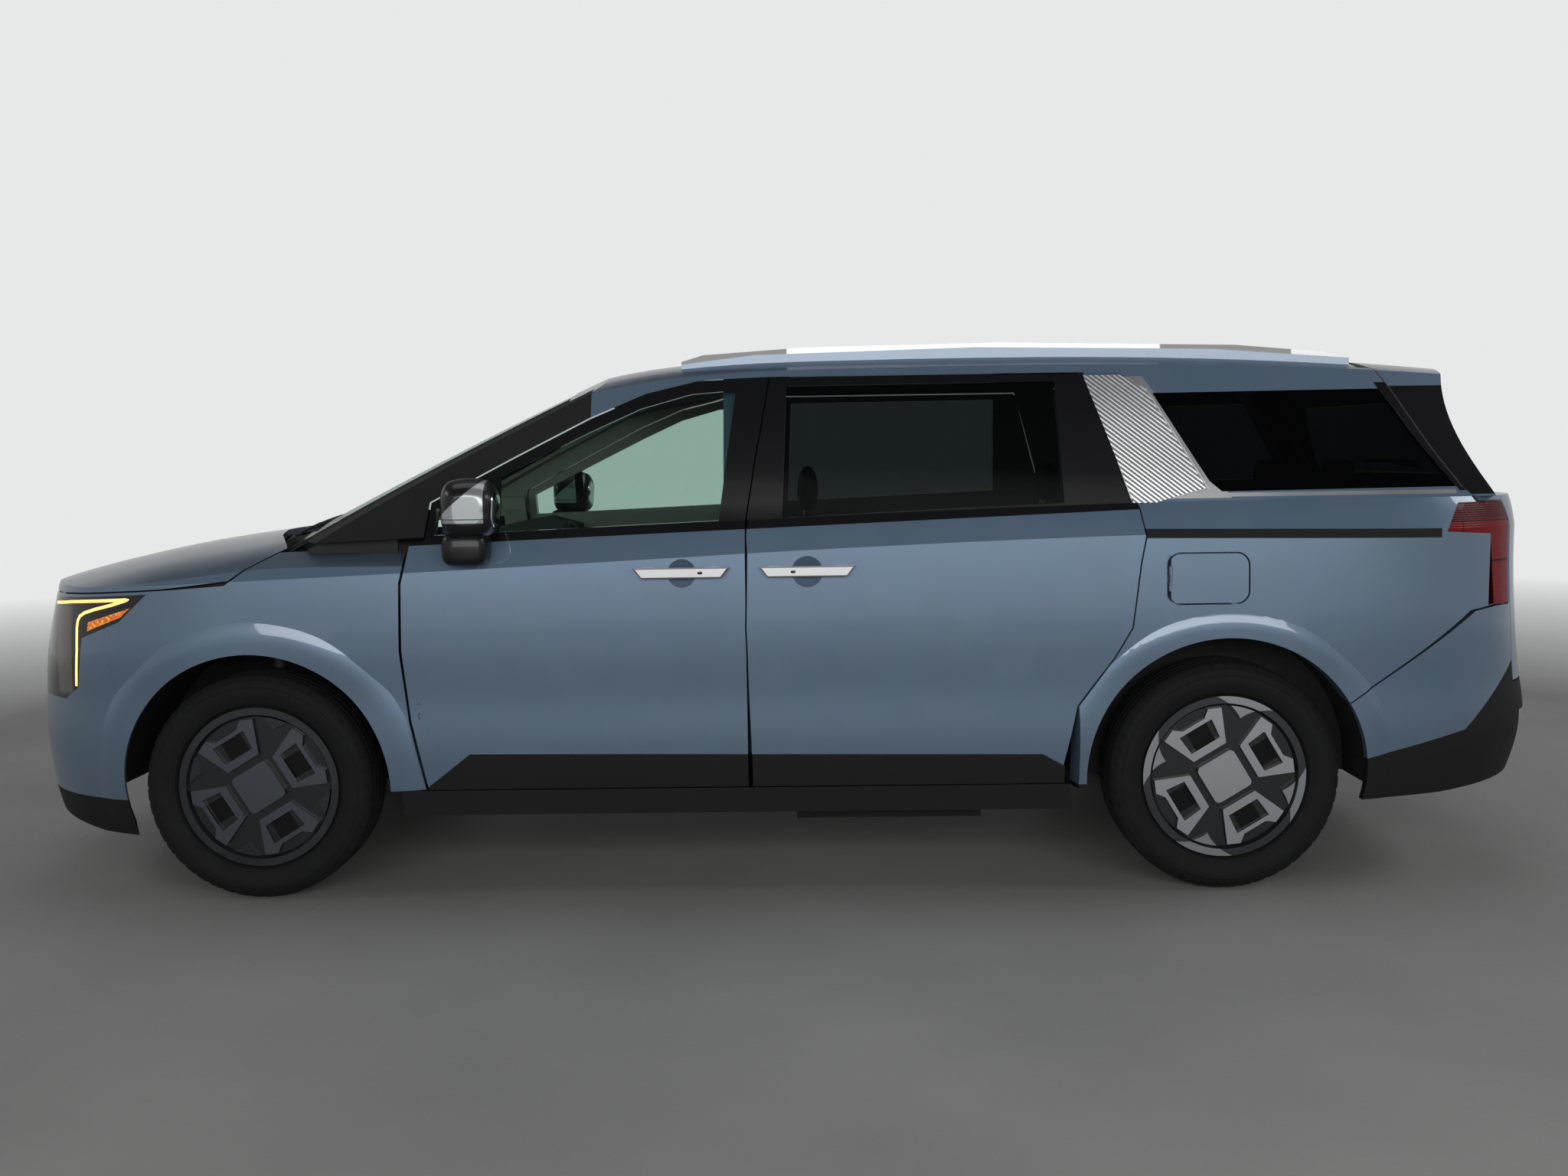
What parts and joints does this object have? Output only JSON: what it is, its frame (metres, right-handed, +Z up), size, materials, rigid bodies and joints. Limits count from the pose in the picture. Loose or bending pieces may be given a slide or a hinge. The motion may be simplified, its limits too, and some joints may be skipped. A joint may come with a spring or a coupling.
{
  "type": "seven-seat minivan",
  "caption": "Minivan with hinged front doors, hood, tailgate and fuel flap, steered front wheels and four turning wheels.",
  "frame": {"origin": "on the ground in the middle of the vehicle's length and width", "axes": "-X towards the nose, -Y towards the vehicle's left side, +Z up"},
  "size_m": [5.1557, 2.24, 1.7643],
  "materials": {
    "alloy": "machined and dark painted alloy",
    "body_paint": "satin metallic slate blue-grey clear-coated paint",
    "carpet": "dark needle-felt carpet",
    "cast_metal": "cast and pressed steel",
    "clear_glass": "lightly green laminated glass",
    "dark_glass": "dark privacy glass",
    "dash_plastic": "soft-touch dark plastic",
    "gloss_black": "piano-black gloss plastic",
    "grained_black": "grained black plastic",
    "grille_metal": "dark satin chrome grille",
    "headlamp_lens": "smoked lamp unit with amber light guide",
    "satin_silver": "satin silver trim",
    "seat_leather": "grained grey-beige leather",
    "steel": "dull stainless steel",
    "tail_lamp_lens": "red lamp lens",
    "tyre": "black tyre rubber",
    "underbody": "sealed black underbody steel"
  },
  "bodies": {
    "root": {"body_side_left": "body_paint", "body_side_right": "body_paint", "cowl": "grained_black", "dashboard": "dash_plastic", "engine_block": "cast_metal", "exhaust": "steel", "floor_pan": "underbody", "front_bumper": "body_paint", "front_fender_left": "body_paint", "front_fender_right": "body_paint", "front_seats": "seat_leather", "front_struts": "cast_metal", "front_subframe": "cast_metal", "front_wheel_liners": "grained_black", "fuel_tank": "grained_black", "grille": "grille_metal", "headlamps": "headlamp_lens", "load_floor": "carpet", "middle_seats": "seat_leather", "pillar_trims": "satin_silver", "quarter_windows": "dark_glass", "radiator": "grained_black", "rear_axle": "cast_metal", "rear_bumper": "body_paint", "rear_seats": "seat_leather", "roof_panel": "body_paint", "roof_rails": "gloss_black", "sliding_door_handles": "satin_silver", "sliding_door_left": "body_paint", "sliding_door_right": "body_paint", "sliding_windows": "dark_glass", "steering_wheel": "dash_plastic", "tail_lamps": "tail_lamp_lens", "windscreen": "clear_glass"},
    "front_door_left": {"front_door_left": "body_paint", "front_window_left": "clear_glass", "mirror_left": "gloss_black", "door_handle_left": "satin_silver"},
    "front_door_right": {"front_door_right": "body_paint", "front_window_right": "clear_glass", "mirror_right": "gloss_black", "door_handle_right": "satin_silver"},
    "hood": {"hood": "body_paint"},
    "tailgate": {"tailgate": "body_paint", "tailgate_window": "dark_glass"},
    "fuel_flap": {"fuel_flap": "body_paint"},
    "knuckle_left": {"knuckle_left": "cast_metal"},
    "knuckle_right": {"knuckle_right": "cast_metal"},
    "wheel_front_left": {"rim_front_left": "alloy", "tyre_front_left": "tyre"},
    "wheel_front_right": {"rim_front_right": "alloy", "tyre_front_right": "tyre"},
    "wheel_rear_left": {"rim_rear_left": "alloy", "tyre_rear_left": "tyre"},
    "wheel_rear_right": {"rim_rear_right": "alloy", "tyre_rear_right": "tyre"}
  },
  "joints": [
    {"name": "front_door_left_hinge", "type": "hinge", "parent": "root", "child": "front_door_left", "pos_m": [-1.104, -0.9715, 0.75], "axis": [0, 0, -1], "range_deg": [0, 68]},
    {"name": "front_door_right_hinge", "type": "hinge", "parent": "root", "child": "front_door_right", "pos_m": [-1.104, 0.9715, 0.75], "axis": [0, 0, 1], "range_deg": [0, 68]},
    {"name": "hood_hinge", "type": "hinge", "parent": "root", "child": "hood", "pos_m": [-1.42, 0, 1.11], "axis": [0, 1, 0], "range_deg": [0, 55]},
    {"name": "tailgate_hinge", "type": "hinge", "parent": "root", "child": "tailgate", "pos_m": [1.868, 0, 1.668], "axis": [0, -1, 0], "range_deg": [0, 85]},
    {"name": "fuel_flap_hinge", "type": "hinge", "parent": "root", "child": "fuel_flap", "pos_m": [1.262, -0.9849, 1.003], "axis": [0, 0, -1], "range_deg": [0, 90]},
    {"name": "steer_left", "type": "hinge", "parent": "root", "child": "knuckle_left", "pos_m": [-1.6425, -0.7, 0.366], "axis": [0, 0, 1], "range_deg": [-33, 33]},
    {"name": "steer_right", "type": "hinge", "parent": "root", "child": "knuckle_right", "pos_m": [-1.6425, 0.7, 0.366], "axis": [0, 0, 1], "range_deg": [-33, 33]},
    {"name": "wheel_front_left_spin", "type": "hinge", "parent": "knuckle_left", "child": "wheel_front_left", "pos_m": [-1.6425, -0.85, 0.366], "axis": [0, 1, 0], "continuous": true},
    {"name": "wheel_front_right_spin", "type": "hinge", "parent": "knuckle_right", "child": "wheel_front_right", "pos_m": [-1.6425, 0.85, 0.366], "axis": [0, 1, 0], "continuous": true},
    {"name": "wheel_rear_left_spin", "type": "hinge", "parent": "root", "child": "wheel_rear_left", "pos_m": [1.4475, -0.85, 0.366], "axis": [0, 1, 0], "continuous": true},
    {"name": "wheel_rear_right_spin", "type": "hinge", "parent": "root", "child": "wheel_rear_right", "pos_m": [1.4475, 0.85, 0.366], "axis": [0, 1, 0], "continuous": true}
  ],
  "couplings": [
    {"joint": "steer_right", "follows": "steer_left", "ratio": 1}
  ]
}
